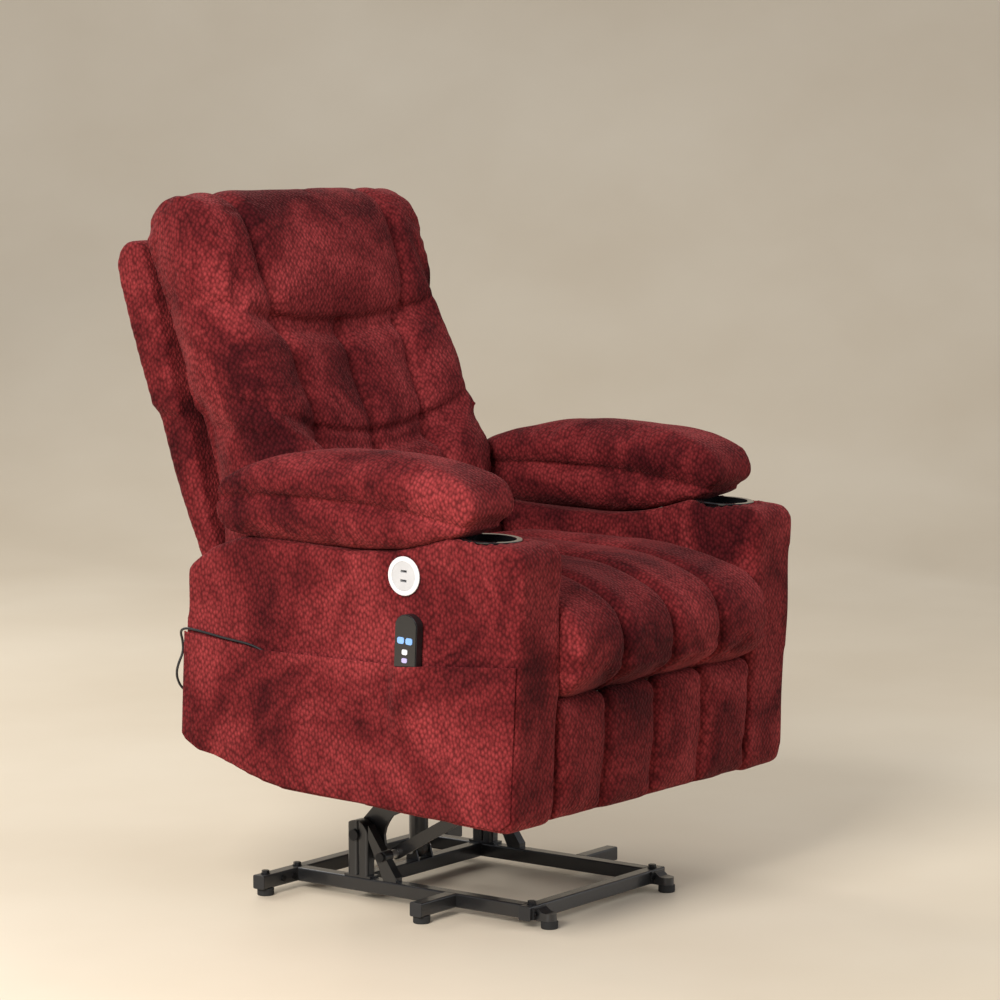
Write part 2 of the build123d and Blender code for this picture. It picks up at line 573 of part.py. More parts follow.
def seat_box_brackets():
    """Pressed plates screwed inside the side boards: for the tilt shaft, for the rest on the cross tube,
    for the footrest's torque shaft, and for the pins that the back turns on."""
    y, z = TILT_PIVOT
    plate = side_plate([(y - 26, z - 26), (y - 26, z + 40), (y + 34, z + 40), (y + 34, z - 26)],
                       BOARD_IN - 8, BOARD_IN - 0.1)
    plate = plate - rod(TILT_SHAFT_R + RUN, BOARD_IN - 9, BOARD_IN + 1, y, z)
    y, z = CARRIAGE_TUBE
    low = z + CROSS_TUBE_R + 0.3
    pad = block((BOARD_IN - 26, y - 18, low), (BOARD_IN - 0.1, y + 18, low + 5))
    pad = pad + block((BOARD_IN - 6, y - 18, low), (BOARD_IN - 0.1, y + 18, low + 40))
    y, z = FOOT_PIVOT
    foot = side_plate([(y - 14, z - 40), (y - 14, z + 12), (y + 14, z + 12), (y + 14, z - 40)],
                      BOARD_IN - 6, BOARD_IN - 0.1)
    foot = foot - rod(FOOT_SHAFT_R + RUN, BOARD_IN - 7, BOARD_IN + 1, y, z)
    y, z = BACK_PIVOT
    back = side_plate([(y - 24, z - 52), (y - 24, z + 4), (y - 14, z + 20), (y + 14, z + 20), (y + 21, z + 4),
                       (y + 21, z - 52)], BOARD_IN - 6, BOARD_IN - 0.1)
    back = back + rod(BACK_PIN_R, BOARD_IN - 18, BOARD_IN - 6, y, z)
    back = back + rod(13, BOARD_IN - 21, BOARD_IN - 16.6, y, z)
    pieces = [piece for half in (plate, pad, foot, back) for piece in both(half).solids()]
    return CHAIR * Compound(children=pieces)


def control_box():
    """Mains adaptor and relay box, screwed under the seat on the right side board."""
    x = -BOARD_IN + 0.1
    case = block((x, -190, 128), (x + 46, -80, 196))
    case = fillet(case.edges().filter_by(Axis.Y), 6)
    return CHAIR * case


def recline_motor():
    """Second motor, on the left side board, which opens the footrest and drops the back."""
    x = BOARD_IN - 0.1
    case = block((x - 44, -150, 130), (x, -60, 196))
    case = fillet(case.edges().filter_by(Axis.Y), 8)
    rail = block((x - 34, -312, 150), (x - 12, -150, 172))
    return CHAIR * (case + rail)


# ---- upholstered body ----------------------------------------------------------------
POCKET_LINE = [(ARM_FRONT + 6, 283), (-222, 255), (81, 239), (ARM_BACK, 247)]


def arm_outline():
    """Side view of an arm: level bottom that sweeps up at the back, and a top that falls to the rear."""
    f = ARM_FRONT
    b = ARM_BACK
    lines = [
        Line((0, f + 26, 0), (0, 41, 0)),
        Spline((0, 41, 0), (0, 150, 22), (0, b - 12, 48), tangents=[(0, 1, 0), (0, 1, 0.35)]),
        Line((0, b - 12, 48), (0, b, 60)),
        Line((0, b, 60), (0, b, 360)),
        Line((0, b, 360), (0, 214, 402)),
        Line((0, 214, 402), (0, 150, 427)),
        Spline((0, 150, 427), (0, -217, 450), (0, CUP_Y + CUP_RIM_R + 2, CUP_TOP - 4),
               tangents=[(0, -1, 0.1), (0, -1, 0.25)]),
        Line((0, CUP_Y + CUP_RIM_R + 2, CUP_TOP - 4), (0, CUP_Y + CUP_RIM_R - 6, CUP_TOP)),
        Line((0, CUP_Y + CUP_RIM_R - 6, CUP_TOP), (0, f + 30, CUP_TOP)),
        ThreePointArc((0, f + 30, CUP_TOP), (0, f + 9, CUP_TOP - 9), (0, f, CUP_TOP - 30)),
        Line((0, f, CUP_TOP - 30), (0, f, 26)),
        ThreePointArc((0, f, 26), (0, f + 7.6, 7.6), (0, f + 26, 0)),
    ]
    return lines


def arm_block():
    """Padded arm, right side turned to +X, with its cup hole bored."""
    arm = side_shape(arm_outline(), ARM_IN, ARM_OUT)
    bore = CUP_R + CUP_WALL + 0.3
    arm = arm - post(bore, CUP_TOP - CUP_DEPTH - 0.5, CUP_TOP + 20, CUP_X, CUP_Y)
    rim = post(CUP_RIM_R + 0.3, CUP_TOP - 3, CUP_TOP + 20, CUP_X, CUP_Y)
    return arm - rim


def left_arm():
    return CHAIR * arm_block()


def right_arm():
    """As the left arm, and bored for the charging socket."""
    arm = mirror(arm_block(), about=Plane.YZ)
    return CHAIR * (arm - rod(HUB_R - 6, -ARM_OUT - 1, -ARM_OUT + 26, HUB_Y, HUB_Z))


def side_pocket():
    """Cloth pocket sewn to the right arm: open along its top line, full where the handset stands."""
    skin = -ARM_OUT - POCKET_GAP
    out = HAND_BACK - HAND_T - 0.6
    left = HAND_Y - HAND_W / 2 - 3
    right = HAND_Y + HAND_W / 2 + 3
    front = ARM_FRONT + 8
    back = ARM_BACK - 2
    t = POCKET_SHEET
    seam = -ARM_OUT - 0.2
    inner = [(front, seam), (front + 4, skin), (left - 22, skin), (left, out), (right, out), (right + 22, skin),
             (back - 4, skin), (back, seam)]
    outer = [(back + 0.5, seam), (back + 0.5, seam - t), (back - 3, skin - t), (right + 23, skin - t),
             (right + 1, out - t), (left - 1, out - t), (left - 23, skin - t), (front + 3, skin - t),
             (front - 0.5, seam - t), (front - 0.5, seam)]
    plan = make_face(Polyline(*[(x, y, 0) for y, x in inner + outer], close=True))
    wall = Pos(0, 0, 60) * extrude(plan, 300, dir=(0, 0, 1))
    top = [(ARM_FRONT, 60), (ARM_FRONT, 284), *POCKET_LINE[1:], (ARM_BACK + 4, 60)]
    wall = wall & side_plate(top, -ARM_OUT - 60, -ARM_OUT + 1)
    floor_plan = make_face(Polyline(*[(x, y, 0) for y, x in inner], close=True))
    floor = Pos(0, 0, 60) * extrude(floor_plan, 3, dir=(0, 0, 1))
    return CHAIR * (wall + floor)


def pad_outline():
    """Side view of an arm pad: a round nose, a long crown and a round tail."""
    crown = [(-290, 480), (-338, 494), (-362, 526), (-350, 560), (-300, 584), (-210, 595), (-110, 594),
             (-10, 585), (90, 567), (160, 543), (193, 520), (202, 497)]
    return [
        Spline(*[(0, y, z) for y, z in crown]),
        ThreePointArc((0, 202, 497), (0, 197, 456), (0, 148, 429.5)),
        Spline((0, 148, 429.5), (0, -217, 453), (0, -290, 480), tangents=[(0, -1, 0.1), (0, -1, 0.6)]),
    ]


def arm_pad():
    """Loose-filled pad on top of the arm, a little wider than the arm."""
    return side_shape(pad_outline(), ARM_IN + 8, ARM_OUT + 10)


def left_arm_pad():
    return CHAIR * arm_pad()


def right_arm_pad():
    return CHAIR * mirror(arm_pad(), about=Plane.YZ)


def cup_holder():
    """Moulded cup with a turned-out rim."""
    low = CUP_TOP - CUP_DEPTH
    cup = post(CUP_R + CUP_WALL, low, CUP_TOP, 0, 0) + post(CUP_RIM_R, CUP_TOP - 2.8, CUP_TOP, 0, 0)
    cup = cup - post(CUP_R, low + CUP_WALL, CUP_TOP + 1, 0, 0)
    return chamfer(cup.edges().filter_by(GeomType.CIRCLE).sort_by(Axis.Z)[-2:], 1.0)


def cup_holders():
    return CHAIR * both(Pos(CUP_X, CUP_Y, 0) * cup_holder())


def seat_cushion():
    """Thick cushion with a rolled front, notched at the back above the drive."""
    top = SEAT_TOP
    rear = REAR_RAIL_Y + RAIL_DEPTH + 2
    outline = [
        Line((0, -448, SEAT_BOTTOM), (0, rear, SEAT_BOTTOM)),
        Line((0, rear, SEAT_BOTTOM), (0, rear, 306)),
        Line((0, rear, 306), (0, 64, 318)),
        Line((0, 64, 318), (0, 76, top - 14)),
        Spline((0, 76, top - 14), (0, -150, top), (0, -400, top - 12), (0, SEAT_FRONT + 14, 345),
               (0, SEAT_FRONT, 288), (0, SEAT_FRONT + 18, 240), (0, -448, SEAT_BOTTOM),
               tangents=[(0, -1, 0.1), (0, 1, -0.25)]),
    ]
    half = ARM_IN - SEAT_SIDE_GAP
    return CHAIR * side_shape(outline, -half, half)


# ---- charging socket and handset ------------------------------------------------------
def socket_bezel():
    """White moulded ring with a barrel that goes into the arm, flat enough for the handset to pass."""
    face = -ARM_OUT - 2.2
    ring = rod(HUB_R, face, -ARM_OUT - 0.1, HUB_Y, HUB_Z)
    ring = fillet(ring.edges().sort_by(Axis.X)[0], 1.5)
    barrel = rod(HUB_R - 6.5, -ARM_OUT - 0.1, -ARM_OUT + 24, HUB_Y, HUB_Z)
    cavity = rod(HUB_R - 8, face - 1, -ARM_OUT + 22, HUB_Y, HUB_Z)
    return CHAIR * (ring + barrel - cavity)


def socket_insert():
    """Inner disc with two charging ports."""
    face = -ARM_OUT - 1.6
    disc = rod(HUB_R - 8.3, face, face + 18, HUB_Y, HUB_Z)
    for dz in (8, -8):
        disc = disc - block((face - 1, HUB_Y - 6.5, HUB_Z + dz - 2.2), (face + 12, HUB_Y + 6.5, HUB_Z + dz + 2.2))
    return CHAIR * disc


def handset_outline(shrink, top_radius):
    """Front view of the handset, with a round head."""
    w = HAND_W / 2 - shrink
    low = HAND_BOTTOM + shrink
    high = HAND_BOTTOM + HAND_H - shrink
    return [
        Line((0, HAND_Y - w, low + 4), (0, HAND_Y - w, high - top_radius)),
        ThreePointArc((0, HAND_Y - w, high - top_radius), (0, HAND_Y, high), (0, HAND_Y + w, high - top_radius)),
        Line((0, HAND_Y + w, high - top_radius), (0, HAND_Y + w, low + 4)),
        Line((0, HAND_Y + w, low + 4), (0, HAND_Y + w - 4, low)),
        Line((0, HAND_Y + w - 4, low), (0, HAND_Y - w + 4, low)),
        Line((0, HAND_Y - w + 4, low), (0, HAND_Y - w, low + 4)),
    ]


HAND_FACE = HAND_BACK - HAND_T
PLATE_DEPTH = 1.6
KEY_TRAVEL = 1.0
KEY_GAP = 0.25
KEYS = {
    # name: (y, z above the handset's foot, half width, half height)
    "key_recline": (9.0, 114.0, 7.0, 5.5),
    "key_raise": (-8.5, 114.0, 7.0, 5.5),
    "key_massage": (0.0, 95.0, 5.5, 4.5),
    "key_heat": (0.0, 81.0, 5.5, 4.0),
}


def key_shape(name, grow, x_low, x_high):
    y, z, half_w, half_h = KEYS[name]
    w = half_w + grow
    h = half_h + grow
    section = Plane.YZ * Pos(HAND_Y + y, HAND_BOTTOM + z) * RectangleRounded(2 * w, 2 * h, min(w, h) * 0.7)
    return Pos(x_low, 0, 0) * extrude(section, x_high - x_low)


def handset_shell():
    """Moulded case, open under the face plate where the keys sink in."""
    case = side_shape(handset_outline(0, 17), HAND_FACE + PLATE_DEPTH, HAND_BACK)
    for name in KEYS:
        case = case - key_shape(name, KEY_GAP, HAND_FACE, HAND_FACE + PLATE_DEPTH + 4)
    relief = HAND_BOTTOM - 9
    case = case + post(4, relief, HAND_BOTTOM + 2, (HAND_FACE + HAND_BACK) / 2 + 1, HAND_Y)
    return CHAIR * case


def handset_face():
    face = side_shape(handset_outline(1.5, 16), HAND_FACE, HAND_FACE + PLATE_DEPTH)
    for name in KEYS:
        face = face - key_shape(name, KEY_GAP, HAND_FACE - 1, HAND_FACE + PLATE_DEPTH + 1)
    return CHAIR * face


def handset_key(name):
    return CHAIR * key_shape(name, 0, HAND_FACE - 1.2, HAND_FACE + PLATE_DEPTH + 2.4)


# ---- handset cable --------------------------------------------------------------------
CABLE_X = -ARM_OUT - 2.5
GLAND = (-384.0, ARM_BACK, 132.0)
CABLE_ROUTE = [
    (-384, ARM_BACK + 0.4, 132), (-385, 284, 134), (-395, 290, 146), (-406, 288, 166), (-408, 282, 186),
    (-400, 278, 206), (-402, 278.5, 227), (-411.5, 276.5, 245), (CABLE_X - 2.5, 262, 253), (CABLE_X, 240, 252),
    (CABLE_X, 207, 249.5), (CABLE_X, 165, 246), (CABLE_X, 112, 244), (CABLE_X, 75, 233),
    (CABLE_X, 40, 213), (CABLE_X, -10, 193), (CABLE_X, -64, 180), (CABLE_X, -118, 168), (CABLE_X, -166, 153),
    (CABLE_X, -200, 145), (CABLE_X - 3.5, -224, 147), (CABLE_X - 6.5, HAND_Y, 160),
    (CABLE_X - 7.5, HAND_Y - 0.5, 175),
]


def corner_radii(route):
    """Each arc as large as the shorter run beside it allows."""
    radii = []
    points = [Vector(*p) for p in route]
    for before, here, after in zip(points, points[1:], points[2:]):
        turn = (here - before).get_angle(after - here)
        shorter = min((here - before).length, (after - here).length)
        radii.append(0.45 * shorter / math.tan(math.radians(turn) / 2))
    return radii


def handset_cable():
    radii = corner_radii(CABLE_ROUTE)
    path = FilletPolyline(*CABLE_ROUTE, radius=radii)
    section = Plane(origin=path @ 0, z_dir=path % 0) * Circle(CABLE_R)
    cable = sweep(section, path=path)
    print("cable radii", [round(r) for r in radii])
    print("cable length", round(path.length), "volume ratio", cable.volume / (math.pi * CABLE_R**2 * path.length))
    return CHAIR * cable


def cable_gland():
    """Rubber grommet in the back of the right arm."""
    x, y, z = GLAND
    ring = Cylinder(8, 2) - Cylinder(CABLE_R + 0.4, 4)
    return CHAIR * Pos(x, y + 1.1, z) * Rot(90, 0, 0) * ring


def power_inlet():
    """Low-voltage inlet on the back rail, for the mains adaptor's lead."""
    body = block((-90, 209.1, 120), (-54, 221, 142))
    hole = Pos(-72, 221, 131) * Rot(90, 0, 0) * Cylinder(5, 14)
    return CHAIR * (body - hole + Pos(-72, 216, 131) * Rot(90, 0, 0) * Cylinder(1.2, 8))


# ---- footrest --------------------------------------------------------------------------
def footrest_rear_links():
    """Two links welded to a torque shaft that turns in the seat box."""
    link = bar_plate(FOOT_PIVOT, FOOT_ELBOW, 12, FOOT_A_X, FOOT_A_X + FOOT_PLATE)
    link = link - rod(4 + RUN, FOOT_A_X - 1, FOOT_A_X + FOOT_PLATE + 1, *FOOT_ELBOW)
    links = both(link - rod(FOOT_SHAFT_R, FOOT_A_X - 1, FOOT_A_X + FOOT_PLATE + 1, *FOOT_PIVOT))
    half = BOARD_IN - 0.5
    shaft = rod(FOOT_SHAFT_R, -half, half, *FOOT_PIVOT)
    return CHAIR * Compound(children=[shaft, *links.solids()])


def footrest_front_links():
    link = bar_plate(FOOT_ELBOW, PANEL_PIVOT, 9, FOOT_B_X, FOOT_B_X + FOOT_PLATE)
    link = link + rod(4, FOOT_B_X, FOOT_A_X + FOOT_PLATE + 1, *FOOT_ELBOW)
    link = link + rod(7, FOOT_A_X + FOOT_PLATE + 0.3, FOOT_A_X + FOOT_PLATE + 2.5, *FOOT_ELBOW)
    link = link - rod(4 + RUN, FOOT_B_X - 1, FOOT_B_X + FOOT_PLATE + 1, *PANEL_PIVOT)
    return CHAIR * both(link)


def panel_brackets():
    """Plates screwed to the back of the footrest panel, each with its pin."""
    y, z = PANEL_PIVOT
    plate = side_plate([(PANEL_BACK, z - 30), (PANEL_BACK, z + 12), (y + 9, z + 12), (y + 9, z - 12)],
                       FOOT_C_X, FOOT_C_X + FOOT_PLATE)
    pin = rod(4, FOOT_C_X, FOOT_B_X + FOOT_PLATE + 0.3, y, z) + rod(
        6.5, FOOT_B_X + FOOT_PLATE + 0.3, FOOT_B_X + FOOT_PLATE + 2.3, y, z)
    return CHAIR * both(plate + pin)


def footrest_panel():
    """Padded board that hangs below the seat front."""
    front = PANEL_BACK - PANEL_THICK
    outline = [
        Line((0, PANEL_BACK - 0.1, PANEL_BOTTOM), (0, PANEL_BACK - 0.1, PANEL_TOP)),
        Line((0, PANEL_BACK - 0.1, PANEL_TOP), (0, front + 16, PANEL_TOP)),
        Spline((0, front + 16, PANEL_TOP), (0, front, PANEL_TOP - 30), (0, front - 4, 100),
               (0, front, PANEL_BOTTOM + 30), (0, front + 16, PANEL_BOTTOM),
               tangents=[(0, -1, -0.4), (0, 1, -0.4)]),
        Line((0, front + 16, PANEL_BOTTOM), (0, PANEL_BACK - 0.1, PANEL_BOTTOM)),
    ]
    return CHAIR * side_shape(outline, -PANEL_HALF, PANEL_HALF)


# ---- back ------------------------------------------------------------------------------
def back_arms():
    """Plates inside the back that turn on the pins of the seat box."""
    y, z = BACK_PIVOT
    outline = [(y - 20, z - 10), (y - 22, z + 20), (y + 70, z + 150), (y + 100, z + 138), (y + 26, z + 10),
               (y + 18, z - 18)]
    plate = side_plate(outline, BOARD_IN - 16, BOARD_IN - 10)
    return CHAIR * both(plate - rod(BACK_PIN_R + RUN, BOARD_IN - 17, BOARD_IN - 9, y, z))


def slot_for_arms(shape):
    """Leaves room in the back for its steel plates and for the fixed plates beside them."""
    y, z = BACK_PIVOT
    for side in (-1, 1):
        x_low, x_high = sorted((side * (BOARD_IN - 24), side * (BACK_HALF + 10)))
        shape = shape - block((x_low, y - 60, 200), (x_high, y + 60, z + 36))
        x_low, x_high = sorted((side * (BOARD_IN - 16.3), side * (BOARD_IN - 9.7)))
        shape = shape - block((x_low, y - 40, z + 30), (x_high, y + 104, z + 152))
    return shape


def back_width(shape):
    """Narrow between the arms, wider above them."""
    low = block((-BACK_LOW_HALF, -100, 0), (BACK_LOW_HALF, 700, 610))
    high = block((-BACK_HALF, -100, 609), (BACK_HALF, 700, 1200))
    return shape & (low + high)


def back_shell():
    """Padded rear panel of the back."""
    outline = [
        Line((0, 262, 232), (0, 304, 232)),
        Spline((0, 304, 232), (0, 357, 370), (0, 403, 469), (0, 452, 590), (0, 500, 712), (0, 544, 824),
               (0, 553, 866), (0, 543, 894), (0, 518, 907), (0, 490, 892)),
        Line((0, 490, 892), (0, 262, 232)),
    ]
    shape = side_shape(outline, -BACK_HALF, BACK_HALF)
    return CHAIR * slot_for_arms(back_width(shape))


def back_cushion():
    """Thick cushion in front of the rear panel, rising above it as the headrest."""
    outline = [
        Line((0, 76, 322), (0, 240, 322)),
        Line((0, 240, 322), (0, 290, 322)),
        Spline((0, 290, 322), (0, 345, 486), (0, 400, 640), (0, 452, 790), (0, 486, 886),
               tangents=[(0, 0.35, 1), (0, 0.35, 1)]),
        Spline((0, 486, 886), (0, 490, 940), (0, 466, 985), (0, 424, 1004), (0, 382, 1003), (0, 340, 985),
               (0, 312, 948), (0, 276, 860), (0, 232, 748), (0, 176, 640), (0, 122, 561), (0, 99, 488),
               (0, 82, 390), (0, 76, 322), tangents=[(0, 0.35, 1), (0, 0, -1)]),
    ]
    shape = side_shape(outline, -BACK_HALF, BACK_HALF)
    shape = back_width(shape) - back_gap()
    return CHAIR * slot_for_arms(shape)


def back_gap():
    """Space in front of the rear panel, so that cushion and panel only touch."""
    return side_plate([(262.3 - 3, 222), (490.3 - 3, 892), (491, 896), (700, 1000), (700, 200)],
                      -BACK_HALF - 10, BACK_HALF + 10)


# ---- export ----------------------------------------------------------------------------
first_stage, second_stage = column_stages()
PARTS = {
    "rear_crossbar": rear_crossbar(),
    "middle_crossbar": middle_crossbar(),
    "front_crossbar": front_crossbar(),
    "side_rails": side_rails(),
    "outrigger_stubs": outrigger_stubs(),
    "tube_end_caps": tube_end_caps(),
    "rubber_feet": rubber_feet(),
    "front_foot_brackets": front_foot_brackets(),
    "uprights": uprights(),
    "upright_gussets": upright_gussets(),
    "frame_bolts": frame_bolts(),
    "drive_clevis": drive_clevis(),
    "base_pivot_bolts": base_pivot_bolts(),
    "pivot_washers": pivot_washers(),
    "lift_arms": lift_arms(),
    "arm_tie_tube": arm_tie_tube(),
    "follower_links": follower_links(),
    "carriage_plates": carriage_plates(),
    "carriage_pivot_bolts": carriage_pivot_bolts(),
    "carriage_tubes": carriage_tubes(),
    "column_pin": column_pin(),
    "column_outer_tube": column_outer_tube(),
    "column_first_stage": first_stage,
    "column_second_stage": second_stage,
    "column_spindle": column_spindle(),
    "drive_gearbox": drive_gearbox(),
    "drive_motor": drive_motor(),
    "seat_side_boards": seat_side_boards(),
    "seat_rails": seat_rails(),
    "seat_springs": seat_springs(),
    "seat_deck": seat_deck(),
    "seat_box_brackets": seat_box_brackets(),
    "drive_crossmember": drive_crossmember(),
    "control_box": control_box(),
    "recline_motor": recline_motor(),
    "left_arm": left_arm(),
    "right_arm": right_arm(),
    "side_pocket": side_pocket(),
    "left_arm_pad": left_arm_pad(),
    "right_arm_pad": right_arm_pad(),
    "cup_holders": cup_holders(),
    "seat_cushion": seat_cushion(),
    "socket_bezel": socket_bezel(),
    "socket_insert": socket_insert(),
    "handset_shell": handset_shell(),
    "handset_face": handset_face(),
    "handset_cable": handset_cable(),
    "cable_gland": cable_gland(),
    "power_inlet": power_inlet(),
    "footrest_rear_links": footrest_rear_links(),
    "footrest_front_links": footrest_front_links(),
    "panel_brackets": panel_brackets(),
    "footrest_panel": footrest_panel(),
    "back_arms": back_arms(),
    "back_shell": back_shell(),
    "back_cushion": back_cushion(),
}
for key_name in KEYS:
    PARTS[key_name] = handset_key(key_name)

os.makedirs("parts", exist_ok=True)
for node, shape in PARTS.items():
    export_step(shape, f"parts/{node}.step")
print(len(PARTS), "parts")
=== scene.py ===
import math

import bmesh
import bpy
import numpy as np
from mathutils import Matrix, Vector, noise


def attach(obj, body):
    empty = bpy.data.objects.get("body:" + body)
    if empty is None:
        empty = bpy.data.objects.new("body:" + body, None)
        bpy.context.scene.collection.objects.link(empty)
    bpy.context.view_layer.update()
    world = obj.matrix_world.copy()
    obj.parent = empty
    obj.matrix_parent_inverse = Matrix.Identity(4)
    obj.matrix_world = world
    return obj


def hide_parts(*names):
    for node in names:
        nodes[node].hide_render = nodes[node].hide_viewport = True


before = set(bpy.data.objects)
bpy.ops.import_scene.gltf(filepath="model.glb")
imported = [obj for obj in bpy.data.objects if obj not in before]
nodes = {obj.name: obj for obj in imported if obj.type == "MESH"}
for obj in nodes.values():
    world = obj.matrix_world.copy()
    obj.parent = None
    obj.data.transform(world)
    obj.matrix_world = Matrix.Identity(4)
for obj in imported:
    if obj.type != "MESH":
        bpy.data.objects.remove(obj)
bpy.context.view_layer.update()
scene = bpy.context.scene

# Everything above the base is tipped a little forward with the chair. Y and Z in the chair's own
# frame start at the bottom edge of the arms.
CHAIR = Matrix.Translation((0, 0, 0.2275)) @ Matrix.Rotation(math.radians(2.63), 4, "X")

# ---- Camera -------------------------------------------------------------------------------
# A long lens at about sitting height, looking at the chair's right front quarter.
camera_data = bpy.data.cameras.new("camera")
camera_data.lens = 129.6
camera_data.sensor_width = 36
camera_data.clip_end = 60
camera = bpy.data.objects.new("camera", camera_data)
LOOKING_DOWN = math.radians(6.44)
TURNED = math.radians(-53.21)
camera.location = (-5.0564, -3.9056, 1.4166)
camera.rotation_euler = (math.pi / 2 - LOOKING_DOWN, 0, TURNED)
scene.collection.objects.link(camera)
scene.camera = camera

# ---- Floor and light ----------------------------------------------------------------------
# A smooth pale screed floor that turns up far behind the chair, a large soft light on the chair's
# right side, a weaker one in front and one behind.
floor_mesh = bpy.data.meshes.new("floor")
bm = bmesh.new()
bmesh.ops.create_grid(bm, x_segments=40, y_segments=40, size=14)
FLOOR_TURNS_UP = 4.0
for v in bm.verts:
    away = v.co.x * 0.8 + v.co.y * 0.6 - FLOOR_TURNS_UP
    if away > 0:
        v.co.z = 0.22 * away**2
for face in bm.faces:
    face.smooth = True
bm.to_mesh(floor_mesh)
bm.free()
floor = bpy.data.objects.new("floor", floor_mesh)
scene.collection.objects.link(floor)
screed = bpy.data.materials.new("screed")
screed.use_nodes = True
tree = screed.node_tree
paint = tree.nodes["Principled BSDF"]
place = tree.nodes.new("ShaderNodeTexCoord")
cloud = tree.nodes.new("ShaderNodeTexNoise")
cloud.inputs["Scale"].default_value = 0.9
cloud.inputs["Detail"].default_value = 5
tone = tree.nodes.new("ShaderNodeValToRGB")
tone.color_ramp.elements[0].position = 0.3
tone.color_ramp.elements[0].color = (0.70, 0.60, 0.46, 1)
tone.color_ramp.elements[1].position = 0.75
tone.color_ramp.elements[1].color = (0.80, 0.71, 0.57, 1)
tree.links.new(place.outputs["Object"], cloud.inputs["Vector"])
tree.links.new(cloud.outputs["Fac"], tone.inputs["Fac"])
tree.links.new(tone.outputs["Color"], paint.inputs["Base Color"])
paint.inputs["Roughness"].default_value = 0.42
floor_mesh.materials.append(screed)

world = bpy.data.worlds.new("room")
world.use_nodes = True
world.node_tree.nodes["Background"].inputs["Color"].default_value = (0.93, 0.95, 1.0, 1)
world.node_tree.nodes["Background"].inputs["Strength"].default_value = 0.42
scene.world = world
lights = {
    # name: (place, width, watts, colour)
    "key": ((-4.4, -0.9, 3.3), 2.4, 330, (1.0, 0.97, 0.93)),
    "side": ((2.6, -3.4, 2.2), 2.2, 45, (0.95, 0.97, 1.0)),
    "back": ((0.6, 3.6, 3.0), 2.6, 90, (1.0, 0.98, 0.95)),
}
for name, (spot, width, watts, colour) in lights.items():
    lamp = bpy.data.lights.new(name, "AREA")
    lamp.size = width
    lamp.energy = watts
    lamp.color = colour
    holder = bpy.data.objects.new(name, lamp)
    holder.location = spot
    holder.rotation_euler = (Vector((0, 0, 0.6)) - Vector(spot)).to_track_quat("-Z", "Y").to_euler()
    scene.collection.objects.link(holder)
scene.view_settings.view_transform = "Standard"

# ---- Handset cable ------------------------------------------------------------------------
# Thin black PVC cable. It leaves a grommet low in the back of the right arm, climbs the arm's rear
# edge, lies along the mouth of the pocket and runs down inside it to the foot of the handset.
SIDE = -0.4125


def plain(name, colour, roughness, metallic=0.0, grain=0.0, coat=0.0):
    """Smooth material with a little unevenness in its colour and its shine."""
    material = bpy.data.materials.new(name)
    material.use_nodes = True
    tree = material.node_tree
    shader = tree.nodes["Principled BSDF"]
    spot = tree.nodes.new("ShaderNodeTexCoord")
    cloud = tree.nodes.new("ShaderNodeTexNoise")
    cloud.inputs["Scale"].default_value = 35
    cloud.inputs["Detail"].default_value = 4
    tree.links.new(spot.outputs["Object"], cloud.inputs["Vector"])
    tone = tree.nodes.new("ShaderNodeValToRGB")
    tone.color_ramp.elements[0].color = (*[c * 0.8 for c in colour], 1)
    tone.color_ramp.elements[1].color = (*[min(1, c * 1.2 + 0.001) for c in colour], 1)
    tree.links.new(cloud.outputs["Fac"], tone.inputs["Fac"])
    tree.links.new(tone.outputs["Color"], shader.inputs["Base Color"])
    shine = tree.nodes.new("ShaderNodeMapRange")
    shine.inputs["To Min"].default_value = roughness * 0.8
    shine.inputs["To Max"].default_value = min(1, roughness * 1.25)
    tree.links.new(cloud.outputs["Fac"], shine.inputs["Value"])
    tree.links.new(shine.outputs["Result"], shader.inputs["Roughness"])
    shader.inputs["Metallic"].default_value = metallic
    shader.inputs["Coat Weight"].default_value = coat
    shader.inputs["Coat Roughness"].default_value = 0.12
    if grain:
        speck = tree.nodes.new("ShaderNodeTexNoise")
        speck.inputs["Scale"].default_value = 900
        tree.links.new(spot.outputs["Object"], speck.inputs["Vector"])
        bump = tree.nodes.new("ShaderNodeBump")
        bump.inputs["Distance"].default_value = grain
        bump.inputs["Strength"].default_value = 0.5
        tree.links.new(speck.outputs["Fac"], bump.inputs["Height"])
        tree.links.new(bump.outputs["Normal"], shader.inputs["Normal"])
    return material


cable_route = [
    (-0.384, 0.2684, 0.132), (-0.385, 0.284, 0.134), (-0.395, 0.290, 0.146), (-0.406, 0.288, 0.166),
    (-0.408, 0.282, 0.186), (-0.400, 0.278, 0.206), (-0.402, 0.2785, 0.227), (-0.4115, 0.2765, 0.245),
    (SIDE - 0.0025, 0.262, 0.253), (SIDE, 0.240, 0.252), (SIDE, 0.207, 0.2495), (SIDE, 0.165, 0.246),
    (SIDE, 0.112, 0.244), (SIDE, 0.075, 0.233), (SIDE, 0.040, 0.213), (SIDE, -0.010, 0.193),
    (SIDE, -0.064, 0.180), (SIDE, -0.118, 0.168), (SIDE, -0.166, 0.153), (SIDE, -0.200, 0.145),
    (SIDE - 0.0035, -0.224, 0.147), (SIDE - 0.0065, -0.236, 0.160), (SIDE - 0.0075, -0.2365, 0.175),
]
cable_curve = bpy.data.curves.new("handset_cable_line", "CURVE")
cable_curve.dimensions = "3D"
cable_curve.resolution_u = 6
cable_curve.bevel_depth = 0.0022
cable_curve.bevel_resolution = 4
cable_curve.use_fill_caps = True
line = cable_curve.splines.new("NURBS")
line.points.add(len(cable_route) - 1)
for point, spot in zip(line.points, cable_route):
    point.co = (*(CHAIR @ Vector(spot)), 1)
line.order_u = 3
line.use_endpoint_u = True
